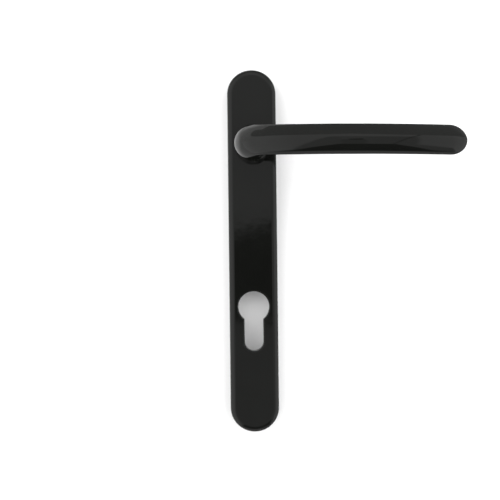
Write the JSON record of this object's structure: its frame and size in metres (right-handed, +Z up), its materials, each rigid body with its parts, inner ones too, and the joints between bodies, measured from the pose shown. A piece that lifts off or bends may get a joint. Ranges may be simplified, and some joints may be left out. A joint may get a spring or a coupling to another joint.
{
  "type": "lever door handle",
  "caption": "Sprung lever door handle half on a long narrow backplate with a euro profile cylinder cut-out, gloss black, for a multipoint or mortice lock.",
  "frame": {"origin": "middle of the backplate on the door plane, on the central seating pad; the spindle's axis is 60.4 mm above it", "axes": "+Z up along the backplate, +Y into the door, so the front faces -Y; the lever points along +X at rest"},
  "size_m": [0.1311, 0.0553, 0.2044],
  "materials": {
    "black_gloss_coat": "gloss black coat on die-cast zinc, faint orange peel",
    "black_nylon": "satin moulded",
    "natural_nylon": "satin moulded",
    "zinc_plated_steel": "bright zinc plate",
    "spring_steel": "oiled drawn wire and strip",
    "phosphated_steel": "phosphate black"
  },
  "bodies": {
    "plate": {"backplate": "black_gloss_coat", "neck_bush": "black_nylon", "rear_bush": "natural_nylon", "cassette_cover": "zinc_plated_steel", "cover_screw_1": "zinc_plated_steel", "cover_screw_2": "zinc_plated_steel", "cover_screw_3": "zinc_plated_steel", "cover_screw_4": "zinc_plated_steel", "fixing_post_upper": "zinc_plated_steel", "fixing_post_lower": "zinc_plated_steel", "return_spring": "spring_steel"},
    "lever": {"lever": "black_gloss_coat", "drive_cam": "zinc_plated_steel", "thrust_washer": "zinc_plated_steel", "wave_washer": "spring_steel", "retaining_circlip": "phosphated_steel"}
  },
  "joints": [
    {"name": "lever_turn", "type": "hinge", "parent": "plate", "child": "lever", "pos_m": [0, -0.011, 0.0604], "axis": [0, 1, 0], "range_deg": [-60, 45], "stiffness_Nm_per_rad": 0.95, "deforming": ["return_spring"]}
  ]
}
